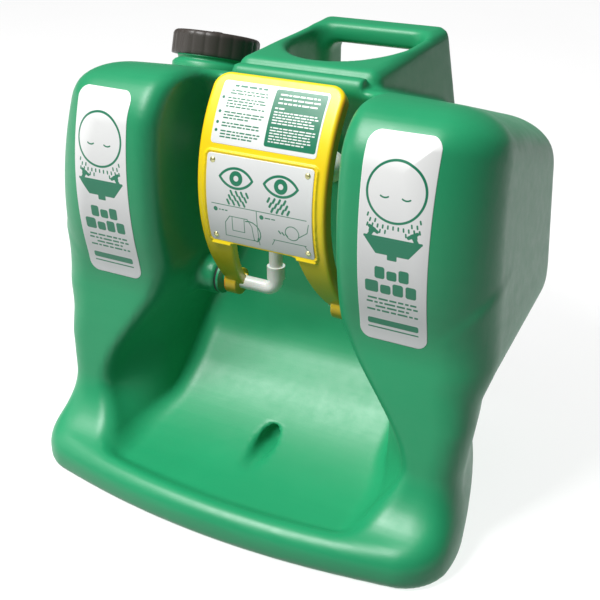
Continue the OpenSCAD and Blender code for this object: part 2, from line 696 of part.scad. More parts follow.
// Perforated discs, one in the mouth of each head
module spray_discs() {
    color(steel) at_heads() translate([0, 0, 14 + head_l - 4]) difference() {
        cylinder(r = head_r - 2.5, h = 2, $fn = 96);
        for (ring = [[1, 0], [6, 5], [12, 10.5]], k = [0 : ring[0] - 1])
            rotate([0, 0, k * full_turn / ring[0]]) translate([ring[1], 0, -1])
            cylinder(r = 1.2, h = 4, $fn = 16);
    }
}

// Strap that ties the riser to the inside of the arm's front
strap_w = 16;
strap_z = head_z - 20 - strap_w / 2;     // under the tee's socket
strap_t = 2;
strap_rise = strap_w / 2 + abs(strap_z - arm_cz);
strap_y = arm_cy - sqrt(pow(arm_r - arm_t, 2) - pow(strap_rise, 2)) + 0.4;
module at_pipe_screws() {
    for (side = [-1, 1]) translate([-riser_x + side * 22, strap_y, strap_z]) rotate([90, 0, 0]) children();
}
module pipe_bracket() {
    ring = pipe_r + strap_t;
    color(white) difference() {
        translate([-riser_x, 0, strap_z - strap_w / 2]) linear_extrude(strap_w) {
            difference() {
                union() {
                    translate([0, pivot_y]) circle(r = ring, $fn = 96);
                    for (side = [0, 1]) mirror([side, 0]) {
                        translate([pipe_r - 1, strap_y]) square([strap_t + 1, pivot_y - strap_y]);
                        translate([pipe_r - 1, strap_y]) square([24, strap_t]);
                    }
                }
                translate([0, pivot_y]) circle(r = pipe_r, $fn = 96);
            }
        }
        at_pipe_screws() translate([0, 0, -10]) cylinder(r = 2, h = 20, $fn = 32);
    }
}
module pipe_screws() {
    color(steel) at_pipe_screws() {
        translate([0, 0, -strap_t - 2]) cylinder(r = 3.6, h = 2, $fn = 32);
        translate([0, 0, -strap_t - 1]) cylinder(r = 2, h = strap_t + 4, $fn = 32);
    }
}

// Steel pin that the right leg turns on, kept by a spring clip inside the leg
module pivot_pin() {
    color(steel) on_axis() difference() {
        along_x(arm_half_w - 24, pad_in + 18, pin_r);
        tube_x(clip_x, clip_x + clip_t, pin_r + 2, pin_r - 1);
    }
}
module pivot_clip() {
    color(steel) on_axis() tube_x(clip_x, clip_x + clip_t, clip_r, pin_r - 1);
}

tank_shell();
side_label_left();
side_label_right();
outlet_fitting();
outlet_gasket();
outlet_nut();
inlet_strainer();
pivot_bush();
pivot_bush_nut();
drain_spigot();
drain_gasket();
wall_bracket();
bracket_bolts();
bracket_inserts();
cap_gasket();
fill_cap();
cap_vent();
activation_arm();
arm_label();
instruction_plate();
plate_rivets();
swivel_elbow();
swivel_rings();
riser_pipe();
spray_tee();
spray_head_left();
spray_head_right();
spray_discs();
pipe_bracket();
pipe_screws();
pivot_pin();
pivot_clip();
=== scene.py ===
"""Portable gravity-fed eyewash station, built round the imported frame."""
import json
import math

import bmesh
import bpy
import numpy as np
from bpy.props import FloatProperty, FloatVectorProperty, PointerProperty
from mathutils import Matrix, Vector


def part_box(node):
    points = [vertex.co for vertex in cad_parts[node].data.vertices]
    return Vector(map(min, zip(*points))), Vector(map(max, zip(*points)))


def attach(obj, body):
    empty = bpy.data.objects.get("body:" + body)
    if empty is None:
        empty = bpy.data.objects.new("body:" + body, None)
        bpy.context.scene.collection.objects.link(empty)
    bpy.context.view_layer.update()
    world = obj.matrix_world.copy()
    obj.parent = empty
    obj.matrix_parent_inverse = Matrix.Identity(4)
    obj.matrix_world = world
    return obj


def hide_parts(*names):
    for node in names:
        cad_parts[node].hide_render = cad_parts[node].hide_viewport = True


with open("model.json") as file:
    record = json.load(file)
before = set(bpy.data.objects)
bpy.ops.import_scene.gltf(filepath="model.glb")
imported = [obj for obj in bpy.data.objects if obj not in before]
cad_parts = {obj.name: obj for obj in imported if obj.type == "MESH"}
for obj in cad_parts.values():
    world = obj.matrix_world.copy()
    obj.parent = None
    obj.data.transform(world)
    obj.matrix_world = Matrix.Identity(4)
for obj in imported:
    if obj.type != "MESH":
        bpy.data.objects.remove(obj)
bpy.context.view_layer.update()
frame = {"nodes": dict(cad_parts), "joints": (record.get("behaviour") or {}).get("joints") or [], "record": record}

bl_info = {
    "name": "Portable Eyewash Station",
    "version": (1, 0, 0),
    "blender": (4, 5, 0),
    "location": "3D View > Sidebar > Eyewash",
    "description": "Builds a moulded gravity-fed eyewash station piece by piece",
    "category": "Add Mesh",
}

MM = 0.001
NODES = frame["nodes"]
JOINTS = {joint["name"]: joint for joint in frame["joints"]}


# ---- Arithmetic on numbers, arrays and node sockets ----------------------------------------

class Val:
    """A node socket; arithmetic on it adds Math nodes."""

    def __init__(self, net, socket):
        self.net, self.socket = net, socket

    def __add__(self, other): return self.net.math("ADD", self, other)
    def __radd__(self, other): return self.net.math("ADD", other, self)
    def __sub__(self, other): return self.net.math("SUBTRACT", self, other)
    def __rsub__(self, other): return self.net.math("SUBTRACT", other, self)
    def __mul__(self, other): return self.net.math("MULTIPLY", self, other)
    def __rmul__(self, other): return self.net.math("MULTIPLY", other, self)
    def __truediv__(self, other): return self.net.math("DIVIDE", self, other)
    def __neg__(self): return self.net.math("MULTIPLY", self, -1.0)


class Net:
    """Adds nodes to a tree."""

    def __init__(self, tree):
        self.tree = tree

    def node(self, kind, settings=None, values=None):
        made = self.tree.nodes.new(kind)
        for name, value in (settings or {}).items():
            setattr(made, name, value)
        for name, value in (values or {}).items():
            if isinstance(value, Val):
                self.tree.links.new(value.socket, made.inputs[name])
            else:
                made.inputs[name].default_value = value
        return made

    def math(self, operation, *values):
        made = self.node("ShaderNodeMath", {"operation": operation}, dict(enumerate(values)))
        return Val(self, made.outputs[0])

    def out(self, node, name=0):
        return Val(self, node.outputs[name])

    def link(self, value, node, name):
        self.tree.links.new(value.socket, node.inputs[name])


def worked(operation, on_arrays, *values):
    """The same operation on sockets or on arrays."""
    net = next((v.net for v in values if isinstance(v, Val)), None)
    return net.math(operation, *values) if net else on_arrays(*values)


def mx(a, b): return worked("MAXIMUM", np.maximum, a, b)
def mn(a, b): return worked("MINIMUM", np.minimum, a, b)
def ab(a): return worked("ABSOLUTE", np.abs, a)
def root(a): return worked("SQRT", np.sqrt, mx(a, 0.0))
def angle(a, b): return worked("ARCTAN2", np.arctan2, a, b)
def unit(a): return mn(mx(a, 0.0), 1.0)


def rmax(a, b, r):
    """Intersection of two solids whose shared edge is rounded to r."""
    u, v = mx(a + r, 0.0), mx(b + r, 0.0)
    return mn(mx(a, b), -r) + root(u * u + v * v)


def rmin(a, b, r):
    """Union with a fillet of radius r."""
    return -rmax(-a, -b, r)


def cut(a, b, r):
    """Solid a with b taken away and the rim rounded to r."""
    return rmax(a, -b, r)


def soft(a, b, k):
    """Union of two nearly parallel faces, blended over the distance k."""
    h = unit((b - a) / (2 * k) + 0.5)
    return b + (a - b) * h - h * (1 - h) * k


def ease(t, a, b):
    """Smooth step of t from a to b."""
    t = unit((t - a) / (b - a))
    return t * t * (3 - 2 * t)


# ---- Shapes as fields, in millimetres; negative inside -------------------------------------

TANK_ROOM = ([-276, -236, -6], [276, 234, 492])   # corners of the volume that holds the tank
TOP_SLOPE = 0.3057                # fall of the tank's top towards the front
TOP_Y, TOP_Z = -24, 475           # a point on that top
ARM_Y, ARM_Z, ARM_R = 82.0, 343.0, 175.0          # centre and radius of the arm's curve
PIVOT_Y, PIVOT_Z = (JOINTS["arm_swing"]["pos_m"][k] / MM for k in (1, 2))

BLOCK_HALF, BLOCK_FLARE, BLOCK_Z = 83, 0.17, 482  # handle block: half width at its top, and flare
BLOCK_TOP, BLOCK_RISE, BLOCK_FOOT = 469, 0.0586, 380
BLOCK_FRONT, BLOCK_REAR = 7, 225
WELL_HALF, WELL_LONG, WELL_Y, WELL_Z = 72, 88, 125, 472   # finger well behind the recess
WELL_REAR, WELL_DRAFT = 184, 0.12
WINDOW_HALF, WINDOW_TOP, WINDOW_FRONT = 60, 455, 150      # finger opening under the bar
HANDLE_ROUND, HANDLE_RIM = 12, 9


def handle_field(x, y, z, shape):
    """Adds the handle block with its finger well and the window under the bar."""
    ax = ab(x)
    block = rmax(ax - BLOCK_HALF - (BLOCK_Z - z) * BLOCK_FLARE,
                 z - BLOCK_TOP - BLOCK_RISE * (y - 3), HANDLE_ROUND)
    block = rmax(block, y - BLOCK_REAR, 14)
    block = rmax(block, BLOCK_FRONT - y, HANDLE_ROUND)
    block = mx(block, BLOCK_FOOT - z)
    shape = rmin(shape, block, 10)
    across, along = x / WELL_HALF, mn(y - WELL_Y, 0.0) / WELL_LONG
    slope = WELL_Z - z - (y - TOP_Y) * TOP_SLOPE
    oval = (root(across * across + along * along) - 1) * WELL_HALF
    well = mx(rmax(oval + (470 - z) * WELL_DRAFT, y - WELL_REAR, 22), slope)
    arch = rmax(ax - WINDOW_HALF, z - WINDOW_TOP, HANDLE_ROUND)
    window = mx(mx(arch, slope), WINDOW_FRONT - y)
    return cut(cut(shape, well, HANDLE_RIM), window, HANDLE_RIM)


NECK_Z, HIP_Z, SILL_Z = 262, 95, 25       # heights where the recess changes its width
MOUTH_HALF, MOUTH_FLARE, MOUTH_PINCH = 106, 84, 34
INNER_HALF, INNER_PINCH, INNER_Z = 147, 42, 130
MOUTH_Y, INNER_Y = -135, -60
BASIN_REAR, BASIN_LIP = -72, -199
PAD_R, PAD_X = 21, 90                     # pads round the pivots


def recess_field(x, y, z, floor_z):
    """The recess between the lobes, its basin and the ramp behind."""
    ax = ab(x)
    mouth = (MOUTH_HALF + MOUTH_FLARE * (1 - ease(z, HIP_Z, NECK_Z))
             - MOUTH_PINCH * (1 - ease(z, SILL_Z, HIP_Z)))
    inner = INNER_HALF - INNER_PINCH * ease(z, INNER_Z, NECK_Z)
    half = mouth + (inner - mouth) * ease(y, MOUTH_Y, INNER_Y)
    wall = mx(y - 40, 0.906 * (y + 10) + 0.423 * (z - 436))
    room = rmax(floor_z - z, (y - BASIN_REAR - z + floor_z) * 0.7071, 60)
    room = rmax(room, wall, 30)
    room = rmax(room, (ax - half) * 0.9, 18)
    room = rmax(room, 0.0005 * x * x - y + BASIN_LIP, 14)
    dy, dz = y - PIVOT_Y, z - PIVOT_Z
    pad = mx(root(dy * dy + dz * dz) - PAD_R, PAD_X - ax)
    return rmax(room, -pad, 12)


CROWN = 0.00012                           # fall of the top towards both sides
LOBE_Y, LOBE_Z, LOBE_RAKE = -137, 349, 0.127      # foremost line of the lobe faces
PEDESTAL_REAR, PEDESTAL_TOP = 195, 290
LIP_HALF, LIP_TOP = 256, 41
BEAD_Y, BEAD_Z, BEAD_R, BEAD_HALF = -5, 455, 11, 78       # raised bead above the arm


def tank_field(x, y, z, half_width, rear, lobe_radius, lip_reach, floor_z):
    """The moulded tank with its lobes, pedestal, basin, handle and drain."""
    ax = ab(x)
    top = (z - TOP_Z + (y - TOP_Y) * TOP_SLOPE) * 0.956 + CROWN * x * x
    dy, dz = y - lobe_radius - LOBE_Y, z - LOBE_Z
    lobe = root(dy * dy + dz * dz) - lobe_radius
    front = soft(lobe, -139 - y + (z - 95) * LOBE_RAKE, 12)
    corner = 40 + mx(z - 150, 0.0) * 0.165
    flank = ax - half_width + 0.07 * (y - LOBE_Y) + 0.055 * mx(z - 230, 0.0)
    upper = rmax(rmax(rmax(flank, y - rear, 80), top, 58), 158 - z, 60)
    rake = ax * 0.875 + y * 0.484 - 190.6 - 0.16 * z
    hips = ax - mn(247 + 0.11 * z, 263)
    lower = rmax(rmax(hips, rake, 70), y - PEDESTAL_REAR, 40)
    trunk = soft(upper, mx(lower, z - PEDESTAL_TOP), 14)
    trunk = rmax(rmax(trunk, front, corner), top, 42)
    lip = rmax(ax - LIP_HALF + 0.12 * mx(y + 190, 0.0), 0.00052 * x * x - y - lip_reach, 42)
    lip = rmax(rmax(lip, z - LIP_TOP, 20), rake - 8, 60)
    shape = rmax(rmin(trunk, lip, 62), -z, 12)
    shape = handle_field(x, y, z, shape)
    shape = cut(shape, recess_field(x, y, z, floor_z), 14 + 4 * ease(z, 120, 260))
    by, bz = y - BEAD_Y, z - BEAD_Z
    shape = rmin(shape, mx(root(by * by + bz * bz) - BEAD_R, ax - BEAD_HALF), 3)
    return drain_field(x, y, z, shape)


SCOOP_R, SCOOP_FRONT, SCOOP_REAR, SCOOP_Z = 12, -122, -58, 43
HOLE_R, HOLE_Z, HOLE_FRONT, HOLE_REAR = 9, 40, -60, 120


def drain_field(x, y, z, shape):
    """Takes away the scoop in the basin floor and the hole behind it."""
    run = y - mx(mn(y, SCOOP_REAR), SCOOP_FRONT)
    dz = z - SCOOP_Z + 4 * unit((y + 130) / 72)
    scoop = root(x * x + dz * dz + run * run) - SCOOP_R
    hz = z - HOLE_Z
    hole = mx(mx(root(x * x + hz * hz) - HOLE_R, HOLE_FRONT - y), y - HOLE_REAR)
    return cut(cut(shape, scoop, 6), hole, 3)


ARM_TOP, ARM_FOOT = 137.4, 149.7          # ends of the arm along its curve
PLATE_HALF, PLATE_MIDDLE, PLATE_TALL = 65, -3.15, 50.6
LEG_TOP = -56                             # where the legs part, along the curve
BOSS_R, BOSS_X = 16, 70


def arm_field(x, y, z, half_width, radius, thickness, flange):
    """The activation arm: a curved front with flanges, a rim round the plate and two legs."""
    ax = ab(x)
    dy, dz = y - ARM_Y, z - ARM_Z
    r = root(dy * dy + dz * dz)
    along = angle(dz, -dy) * ARM_R
    outline = rmax(ax - half_width, along - ARM_TOP, 19)
    outline = rmax(outline, -ARM_FOOT - along, 6)
    outer = rmax(r - radius, outline, 5)
    inner = rmax(r - radius + thickness, outline + thickness, 3)
    shape = rmax(mx(outer, -inner), radius - flange - r, 1)
    plate = rmax(ax - PLATE_HALF, ab(along - PLATE_MIDDLE) - PLATE_TALL, 4)
    rim = mx(mx(ab(plate - 1.7) - 1.3, r - radius - 1.7), radius - 2 - r)
    shape = rmin(shape, rim, 1)
    lips = mx(mx(ab(ax - 53) - 12, ab(along + 58) - 1.5), mx(r - radius - 3, radius - 2 - r))
    shape = rmin(shape, lips, 1)
    notch = rmax(ax - 40 - mx(LEG_TOP - along, 0.0) * 0.18, along - LEG_TOP, 5)
    shape = cut(shape, notch, 1)
    web = mx(mx(ab(notch - 1.6) - 1.6, radius - 11 - r), mx(r - radius + 1, along + 54))
    shape = rmin(shape, mx(web, outline + 1), 1)
    py, pz = y - PIVOT_Y, z - PIVOT_Z
    boss = mx(root(py * py + pz * pz) - BOSS_R, ab(ax - BOSS_X) - 8)
    return rmin(shape, boss, 2)


# ---- Meshes ----------------------------------------------------------------------------------

def mesh_object(name, points, faces, material, smooth=True):
    """A piece from points in metres, with its place in its mesh."""
    mesh = bpy.data.meshes.new(name)
    mesh.from_pydata([tuple(p) for p in points], [], faces)
    mesh.validate()
    mesh.materials.append(material)
    if smooth:
        mesh.shade_smooth()
    made = bpy.data.objects.new(name, mesh)
    bpy.context.scene.collection.objects.link(made)
    return made


def baked(name, carrier):
    """Turns the carrier's evaluated Geometry Nodes result into a plain piece."""
    evaluated = carrier.evaluated_get(bpy.context.evaluated_depsgraph_get())
    mesh = bpy.data.meshes.new_from_object(evaluated)
    carrier.modifiers.clear()
    bpy.data.objects.remove(carrier)
    if not mesh.polygons:
        raise RuntimeError(f"{name} came out empty")
    mesh.name = name
    mesh.shade_smooth()
    made = bpy.data.objects.new(name, mesh)
    bpy.context.scene.collection.objects.link(made)
    return made


def new_tree(name, inputs):
    """A Geometry Nodes tree with named inputs; returns it and each input's value."""
    tree = bpy.data.node_groups.new(name, "GeometryNodeTree")
    tree.interface.new_socket("Geometry", in_out="OUTPUT", socket_type="NodeSocketGeometry")
    inputs = [("Points", "Geometry")] + inputs
    for label, kind in inputs:
        tree.interface.new_socket(label, in_out="INPUT", socket_type="NodeSocket" + kind)
    net = Net(tree)
    given = net.node("NodeGroupInput")
    return net, {label: Val(net, given.outputs[label]) for label, _ in inputs}


def close_tree(net, geometry, material):
    """Ends a tree in Realize Instances and Set Material."""
    realised = net.node("GeometryNodeRealizeInstances", None, {"Geometry": geometry})
    painted = net.node("GeometryNodeSetMaterial", None,
                       {"Geometry": net.out(realised), "Material": material})
    net.link(net.out(painted), net.node("NodeGroupOutput"), 0)


def run_tree(name, net, values, points=()):
    """Runs a tree on a mesh of loose points and returns the plain piece."""
    mesh = bpy.data.meshes.new(name + "_points")
    mesh.from_pydata([tuple(p) for p in points], [], [])
    carrier = bpy.data.objects.new(name + "_carrier", mesh)
    bpy.context.scene.collection.objects.link(carrier)
    modifier = carrier.modifiers.new(name, "NODES")
    modifier.node_group = net.tree
    for item in net.tree.interface.items_tree:
        if item.in_out == "INPUT" and item.name in values:
            modifier[item.identifier] = values[item.name]
    return baked(name, carrier)


MIDDLE = 50.0   # density on the surface of a moulded body


def moulded(name, field, sizes, lowest, highest, voxel, material):
    """Turns a field into a mesh: a volume of its values, contoured where it is zero."""
    labels = [(label, "Float") for label in sizes]
    net, given = new_tree(name, labels + [("Lowest", "Vector"), ("Highest", "Vector"),
                                          ("Cells X", "Int"), ("Cells Y", "Int"),
                                          ("Cells Z", "Int"), ("Finish", "Material")])
    place = net.node("ShaderNodeSeparateXYZ", None,
                     {0: net.out(net.node("GeometryNodeInputPosition"))})
    x, y, z = (net.out(place, axis) * (1 / MM) for axis in "XYZ")
    density = MIDDLE - field(x, y, z, *(given[label] for label in sizes))
    volume = net.node("GeometryNodeVolumeCube", None, {
        "Density": density, "Background": 0.0, "Min": given["Lowest"], "Max": given["Highest"],
        "Resolution X": given["Cells X"], "Resolution Y": given["Cells Y"],
        "Resolution Z": given["Cells Z"]})
    skin = net.node("GeometryNodeVolumeToMesh", None,
                    {"Volume": net.out(volume), "Threshold": MIDDLE})
    close_tree(net, net.out(skin), given["Finish"])
    values = dict(sizes, Lowest=[v * MM for v in lowest], Highest=[v * MM for v in highest],
                  Finish=material)
    for axis, low, high in zip("XYZ", lowest, highest):
        values["Cells " + axis] = int((high - low) / voxel)
    return run_tree(name, net, values)


def turned(name, profile, steps, place, material, ripple=None):
    """Turns a closed profile of (radius, height) round an axis; ripple adds to the radius."""
    profile = np.array(profile, float)
    theta = np.arange(steps) * 2 * math.pi / steps
    t, k = np.meshgrid(theta, np.arange(len(profile)), indexing="ij")
    radius, height = profile[k, 0], profile[k, 1]
    if ripple:
        radius = radius + ripple(t, radius, height)
    points = place(radius * np.cos(t), radius * np.sin(t), height).reshape(-1, 3)
    count, faces = len(profile), []
    for i in range(steps):
        j = (i + 1) % steps
        for k in range(count - 1):
            faces.append((i * count + k, i * count + k + 1, j * count + k + 1, j * count + k))
    made = mesh_object(name, points * MM, faces, material)
    tidy_mesh(made)
    return made


def tidy_mesh(made):
    """Merges doubled points and turns the faces outwards."""
    work = bmesh.new()
    work.from_mesh(made.data)
    bmesh.ops.remove_doubles(work, verts=work.verts, dist=1e-6)
    bmesh.ops.recalc_face_normals(work, faces=work.faces)
    work.to_mesh(made.data)
    work.free()
    made.data.shade_smooth()


def film(name, width, height, corner, step, place, ink, thickness, material):
    """A thin sheet with rounded corners, laid where place(u, v) says, carrying its print."""
    nu, nv = int(width / step) + 2, int(height / step) + 2
    u, v = np.meshgrid(np.linspace(-width / 2, width / 2, nu),
                       np.linspace(-height / 2, height / 2, nv), indexing="ij")
    qx, qy = np.abs(u) - width / 2 + corner, np.abs(v) - height / 2 + corner
    reach = np.hypot(np.maximum(qx, 0), np.maximum(qy, 0))
    snap = (qx > 0) & (qy > 0) & (reach > corner)
    pull = np.where(snap, corner / np.maximum(reach, 1e-9), 1.0)
    u = np.where(snap, np.sign(u) * (width / 2 - corner + qx * pull), u)
    v = np.where(snap, np.sign(v) * (height / 2 - corner + qy * pull), v)
    under, normal = place(u, v)
    over = under + normal * thickness
    index = np.arange(nu * nv).reshape(nu, nv)
    quads = np.stack([index[:-1, :-1], index[1:, :-1], index[1:, 1:], index[:-1, 1:]], -1)
    lost = snap.reshape(-1)[quads].all(-1)
    quads = quads[~lost]
    edges = np.concatenate([quads[:, [k, (k + 1) % 4]] for k in range(4)])
    key = np.sort(edges, 1) @ np.array([nu * nv, 1])
    _, first, times = np.unique(key, return_index=True, return_counts=True)
    rim = edges[first[times == 1]]
    total = nu * nv
    walls = np.stack([rim[:, 1], rim[:, 0], rim[:, 0] + total, rim[:, 1] + total], -1)
    faces = np.concatenate([quads, quads[:, ::-1] + total, walls])
    points = np.concatenate([over.reshape(-1, 3), under.reshape(-1, 3)]) * MM
    values = np.concatenate([ink(u, v).reshape(-1), np.full(total, 5.0)]).astype(np.float32)
    mesh = bpy.data.meshes.new(name)
    used, back = np.unique(faces, return_inverse=True)
    mesh.from_pydata(points[used].tolist(), [], back.reshape(faces.shape).tolist())
    layer = mesh.attributes.new("ink", "FLOAT", "POINT")
    layer.data.foreach_set("value", values[used])
    mesh.materials.append(material)
    made = bpy.data.objects.new(name, mesh)
    bpy.context.scene.collection.objects.link(made)
    tidy_mesh(made)
    return made


# ---- Print: signed distances in millimetres, negative where there is ink ---------------------

def disc(u, v, cx, cy, r): return np.hypot(u - cx, v - cy) - r
def ring(u, v, cx, cy, r, w): return np.abs(disc(u, v, cx, cy, r)) - w / 2


def bar(u, v, cx, cy, w, h, r=0.0):
    qx, qy = np.abs(u - cx) - w / 2 + r, np.abs(v - cy) - h / 2 + r
    return np.hypot(np.maximum(qx, 0), np.maximum(qy, 0)) + np.minimum(np.maximum(qx, qy), 0) - r


def stroke(u, v, points, w):
    """A line of width w through the points."""
    best = np.full(np.shape(u), 1e3)
    for (x0, y0), (x1, y1) in zip(points, points[1:]):
        dx, dy = x1 - x0, y1 - y0
        t = np.clip(((u - x0) * dx + (v - y0) * dy) / (dx * dx + dy * dy), 0, 1)
        best = np.minimum(best, np.hypot(u - x0 - t * dx, v - y0 - t * dy))
    return best - w / 2


def drop(u, v, cx, cy, lean, size=1.0):
    """A falling drop, leaning sideways by the given slope."""
    return stroke(u, v, [(cx, cy), (cx + lean * 2.4 * size, cy - 2.4 * size)], 1.5 * size)


def words(u, v, left, right, top, pitch, rows, tall, seed, centred=False):
    """Rows of plain bars that stand for small print."""
    rng = np.random.default_rng(seed)
    best = np.full(np.shape(u), 1e3)
    for row in range(rows):
        x, spans = left, []
        end = right - (right - left) * 0.35 * rng.random() if row % 3 == 2 else right
        while x < end - 3:
            long = min(tall * rng.uniform(1.6, 5.5), end - x)
            spans.append((x, x + long))
            x += long + tall * 0.75
        shift = (left + right - spans[0][0] - spans[-1][1]) / 2 if centred else 0
        across = np.full(np.shape(u), 1e3)
        for a, b in spans:
            across = np.minimum(across, np.abs(u - shift - (a + b) / 2) - (b - a) / 2)
        best = np.minimum(best, np.maximum(across, np.abs(v - top + row * pitch) - tall / 2))
    return best


def union(*shapes):
    best = shapes[0]
    for shape in shapes[1:]:
        best = np.minimum(best, shape)
    return best


def lobe_print(u, v):
    """A head with closed eyes over a bowl with two jets, and plain bars for words."""
    lid = np.linspace(-0.6, 0.6, 7)
    shapes = [ring(u, v, 0, 55, 29, 2.4)]
    shapes += [stroke(u, v, [(x + 7 * math.sin(a), 56 - 7 * math.cos(a)) for a in lid], 1.6)
               for x in (-11, 11)]
    for row in range(6):
        for k in range(-5, 6):
            x = k * 5.2 + (row % 2) * 2.6
            y = 42 - row * 4.9
            if disc(x, y, 0, 55, 32.5) > 0 and abs(x) < 28 and y > 19 - abs(k):
                shapes.append(drop(u, v, x, y, 0.05 * k, 1.15))
    bowl = np.maximum(np.maximum(v - 8, np.abs(u) - 29 + (8 - v) * 0.8), -7 - v)
    shapes += [bowl, bar(u, v, 0, -9, 10, 6, 1), bar(u, v, 0, 9.5, 60, 2.6, 1)]
    for side in (-1, 1):
        shapes.append(stroke(u, v, [(side * 25, 9), (side * 20, 17)], 4.2))
        shapes.append(stroke(u, v, [(side * 16, 14.5), (side * 24, 19.5)], 3.6))
    for k, x in enumerate((-12.5, 0, 12.5)):
        shapes.append(bar(u, v, x, -27 - (k == 1) * 1.5, 10.5, 13 if k != 1 else 10, 2.4))
    for k, x in enumerate((-21, -6.5, 6.5, 20)):
        wide, tall = (14 if k == 0 else 11), (13 if k != 1 else 10)
        shapes.append(bar(u, v, x, -43 - (k == 1) * 1.5, wide, tall, 2.4))
    shapes.append(words(u, v, -27, 27, -56.5, 4.6, 4, 2.1, 5, True))
    shapes += [bar(u, v, 0, -84, 54, 7, 2), bar(u, v, 0, -91.5, 54, 1.6)]
    return union(*shapes)


def eye(u, v, cx, cy):
    """An open eye: lids, iris and pupil."""
    lens = np.maximum(disc(u, v, cx, cy - 13.5, 24), disc(u, v, cx, cy + 13.5, 24))
    iris = np.maximum(disc(u, v, cx, cy, 8), -disc(u, v, cx, cy, 3))
    return union(np.abs(lens) - 1.4, np.maximum(iris, lens))


def plate_print(u, v):
    """Two rinsed eyes over two panels of simple drawings."""
    shapes = [eye(u, v, -27, 27), eye(u, v, 27, 27)]
    for side in (-1, 1):
        for row in range(3):
            for k in range(4):
                across = side * (14 + k * 6.4 + row * 2.2)
                shapes.append(drop(u, v, across, 13 - row * 5.2, -side * 0.5, 1.7))
    shapes += [bar(u, v, 0, -4, 116, 0.9), bar(u, v, -2, -25, 0.9, 41)]
    shapes += [disc(u, v, -53, -10, 2.6), disc(u, v, 4, -10, 2.6),
               words(u, v, -49, -38, -10, 3, 1, 1.3, 3), words(u, v, 8, 22, -10, 3, 1, 1.3, 4)]
    shapes.append(stroke(u, v, [(-44, -41), (-42, -24), (-36, -16), (-14, -16), (-9, -24),
                                (-8, -41), (-44, -41)], 0.9))
    shapes.append(stroke(u, v, [(-33, -17), (-34, -33), (-19, -33), (-18, -17)], 0.9))
    arc = [(-12 + 13 * math.cos(a), -31 + 13 * math.sin(a)) for a in np.linspace(1.9, -0.9, 9)]
    shapes.append(stroke(u, v, arc, 1.3))
    shapes.append(stroke(u, v, [(-8.5, -40.5), (-4, -41.5), (-2.6, -36.5)], 1.3))
    shapes += [ring(u, v, 40, -22, 8, 1.0), bar(u, v, 36, -34, 40, 0.9)]
    shapes.append(stroke(u, v, [(14, -41), (18, -34), (54, -34), (58, -41)], 0.9))
    shapes.append(stroke(u, v, [(48, -25), (58, -18), (60, -8)], 0.9))
    for k in range(3):
        shapes.append(drop(u, v, 24 + k * 4, -22 - k, 0.8, 1.1))
    return union(*shapes)


def arm_print(u, v):
    """Small print in two columns: dark on white, and white on a dark field."""
    left = [words(u, v, -50, -8, 29, 4, 1, 2.4, 11, True),
            words(u, v, -52, -6, 23.5, 3.2, 2, 1.5, 12, True)]
    for block, (top, rows) in enumerate(((15, 4), (-0.5, 3), (-12, 2), (-20.5, 3))):
        left.append(words(u, v, -53, -5, top, 3.1, rows, 1.5, 20 + block))
        left.append(disc(u, v, -58.5, top, 1.7))
    field = bar(u, v, 31, 1, 60, 61, 2.5)
    right = [words(u, v, 7, 56, 26, 4.6, 3, 1.7, 31), words(u, v, 5, 18, 11, 3, 1, 1.6, 32),
             words(u, v, 5, 57, 7, 2.9, 5, 1.3, 33), words(u, v, 5, 57, -9.5, 2.9, 6, 1.3, 34)]
    return union(*left, np.maximum(field, -union(*right)))


# ---- Materials -------------------------------------------------------------------------------

def linear(colour):
    """A display colour of 0 to 255 as linear RGBA."""
    parts = [c / 255 for c in colour]
    return tuple(c / 12.92 if c <= 0.04045 else ((c + 0.055) / 1.055) ** 2.4
                 for c in parts) + (1.0,)


def new_material(name, **constants):
    """A material, its net and its shader, with constant sockets set on the shader."""
    made = bpy.data.materials.new(name)
    made.use_nodes = True
    net = Net(made.node_tree)
    shader = made.node_tree.nodes["Principled BSDF"]
    for label, value in constants.items():
        shader.inputs[label.replace("_", " ")].default_value = value
    return made, net, shader


def spot(net, stretch=(1, 1, 1)):
    """Object coordinates, stretched by the given amounts."""
    coords = net.out(net.node("ShaderNodeTexCoord"), "Object")
    return net.out(net.node("ShaderNodeMapping", None, {"Vector": coords, "Scale": stretch}))


def noise(net, place, scale, detail=3.0, rough=0.5):
    made = net.node("ShaderNodeTexNoise", None, {"Vector": place, "Scale": scale, "Detail": detail,
                                                 "Roughness": rough})
    return net.out(made, 0)


def blend(net, share, first, second):
    """Mixes two colours, each a colour or a socket."""
    made = net.node("ShaderNodeMix", {"data_type": "RGBA"}, {0: share, 6: first, 7: second})
    return Val(net, made.outputs[2])


def raised(net, shader, height, strength, distance):
    bump = net.node("ShaderNodeBump", None, {"Height": height, "Strength": strength,
                                             "Distance": distance})
    net.link(net.out(bump), shader, "Normal")


def moulded_plastic(name, colour, shade, roughness=0.42, grain=0.12, streak=0.0, **constants):
    """Moulded plastic: slow drift of colour, fine grain, faint flow lines and scuffs."""
    made, net, shader = new_material(name, **constants)
    place = spot(net)
    drift = noise(net, place, 7.0, 2.0)
    flow = noise(net, spot(net, (6, 90, 90)), 1.0, 3.0)
    share = unit((drift - 0.35) * 1.6) * 0.6 + flow * streak
    net.link(blend(net, unit(share), colour, shade), shader, "Base Color")
    scuff = noise(net, place, 60.0, 5.0, 0.65)
    net.link(roughness + (scuff - 0.5) * 0.18 + (flow - 0.5) * 0.06, shader, "Roughness")
    fine = noise(net, place, 900.0, 2.0)
    raised(net, shader, fine + flow * 1.5, grain, 0.0004)
    return made


